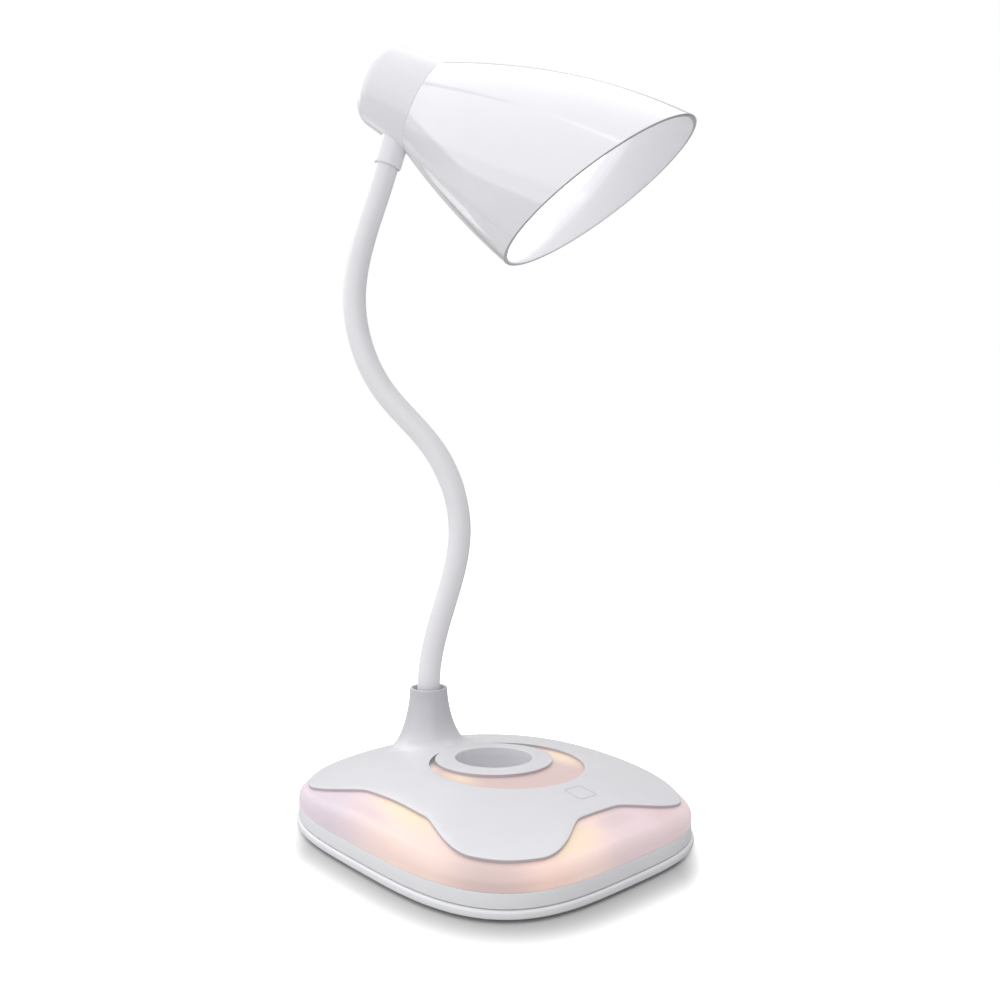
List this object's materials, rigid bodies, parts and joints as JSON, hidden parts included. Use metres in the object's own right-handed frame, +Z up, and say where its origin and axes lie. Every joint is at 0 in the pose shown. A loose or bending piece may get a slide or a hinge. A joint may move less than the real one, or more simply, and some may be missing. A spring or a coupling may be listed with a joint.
{
  "type": "led table lamp",
  "caption": "White LED table lamp with a flared head on a bendable neck, and a squircle base with a wavy top plate, glowing milky rim and pen cup.",
  "frame": {"origin": "on the table under the middle of the base's outline, at the non-slip pad's underside", "axes": "+Z up, +X towards the base's front, where the touch mark is, +Y to the lamp's left; at rest neck and head lean in a vertical plane turned 40.5 degrees from +X towards +Y"},
  "size_m": [0.1736, 0.1838, 0.3658],
  "materials": {
    "white_gloss": "gloss",
    "soft_sleeve": "satin",
    "cool_white": "satin",
    "milky_shell": "satin",
    "lit_disc": "matte",
    "reflector_white": "gloss",
    "pad_rubber": "matte",
    "spreader": "satin",
    "copper": "satin",
    "board_green": "satin",
    "board_white": "satin",
    "cell": "satin",
    "mark_grey": "matte",
    "wire": "satin",
    "steel": "satin"
  },
  "bodies": {
    "base": {"ballast_plate": "steel", "battery_cradle": "cool_white", "battery_leads": "wire", "battery_pack": "cell", "board_screw_1": "steel", "board_screw_2": "steel", "board_screw_3": "steel", "board_screw_4": "steel", "bottom_cover": "cool_white", "case_band": "cool_white", "charge_socket": "steel", "control_board": "board_green", "cover_screw_1": "steel", "cover_screw_2": "steel", "cover_screw_3": "steel", "cover_screw_4": "steel", "glow_board": "board_white", "glow_lead": "wire", "light_diffuser": "milky_shell", "neck_anchor": "steel", "neck_lead": "wire", "neck_nut": "steel", "neck_sleeve_foot": "soft_sleeve", "neck_washer": "steel", "non_slip_pad": "pad_rubber", "pen_cup": "cool_white", "top_plate": "white_gloss", "touch_lead": "wire", "touch_mark": "mark_grey", "touch_pad": "copper"},
    "neck_link_1": {"neck_core_1": "steel", "neck_sleeve_1": "soft_sleeve"},
    "neck_link_2": {"neck_core_2": "steel", "neck_sleeve_2": "soft_sleeve"},
    "neck_link_3": {"neck_core_3": "steel", "neck_sleeve_3": "soft_sleeve"},
    "neck_link_4": {"neck_core_4": "steel", "neck_sleeve_4": "soft_sleeve"},
    "neck_link_5": {"neck_core_5": "steel", "neck_sleeve_5": "soft_sleeve"},
    "neck_link_6": {"neck_core_6": "steel", "neck_sleeve_6": "soft_sleeve"},
    "neck_link_7": {"neck_core_7": "steel", "neck_sleeve_7": "soft_sleeve"},
    "head": {"collar_nut": "steel", "head_lead": "wire", "heat_spreader": "spreader", "housing_screw_1": "steel", "housing_screw_2": "steel", "housing_screw_3": "steel", "led_board": "board_white", "light_disc": "lit_disc", "neck_collar": "white_gloss", "neck_core_top": "steel", "neck_sleeve_top": "soft_sleeve", "rear_housing": "white_gloss", "reflector": "reflector_white", "shade": "white_gloss"}
  },
  "joints": [
    {"name": "neck_pitch_1", "type": "hinge", "parent": "base", "child": "neck_link_1", "pos_m": [-0.0574, 0.0101, 0.0522], "axis": [-0.6494, 0.7604, 0], "range_deg": [-22, 22]},
    {"name": "neck_sway_2", "type": "hinge", "parent": "neck_link_1", "child": "neck_link_2", "pos_m": [-0.05202, 0.01469, 0.08992], "axis": [0.7278, 0.6216, -0.2898], "range_deg": [-22, 22]},
    {"name": "neck_pitch_3", "type": "hinge", "parent": "neck_link_2", "child": "neck_link_3", "pos_m": [-0.04552, 0.02024, 0.12737], "axis": [-0.6494, 0.7604, 0], "range_deg": [-22, 22]},
    {"name": "neck_sway_4", "type": "hinge", "parent": "neck_link_3", "child": "neck_link_4", "pos_m": [-0.05237, 0.0144, 0.16433], "axis": [0.6639, 0.5671, 0.4875], "range_deg": [-22, 22]},
    {"name": "neck_pitch_5", "type": "hinge", "parent": "neck_link_4", "child": "neck_link_5", "pos_m": [-0.07103, -0.00154, 0.19389], "axis": [-0.6494, 0.7604, 0], "range_deg": [-22, 22]},
    {"name": "neck_sway_6", "type": "hinge", "parent": "neck_link_5", "child": "neck_link_6", "pos_m": [-0.08409, -0.01269, 0.22792], "axis": [0.7418, 0.6335, 0.22], "range_deg": [-22, 22]},
    {"name": "neck_pitch_7", "type": "hinge", "parent": "neck_link_6", "child": "neck_link_7", "pos_m": [-0.0834, -0.0121, 0.26607], "axis": [-0.6494, 0.7604, 0], "range_deg": [-22, 22]},
    {"name": "neck_sway_8", "type": "hinge", "parent": "neck_link_7", "child": "head", "pos_m": [-0.07437, -0.00439, 0.3027], "axis": [0.7227, 0.6172, -0.311], "range_deg": [-22, 22]}
  ]
}
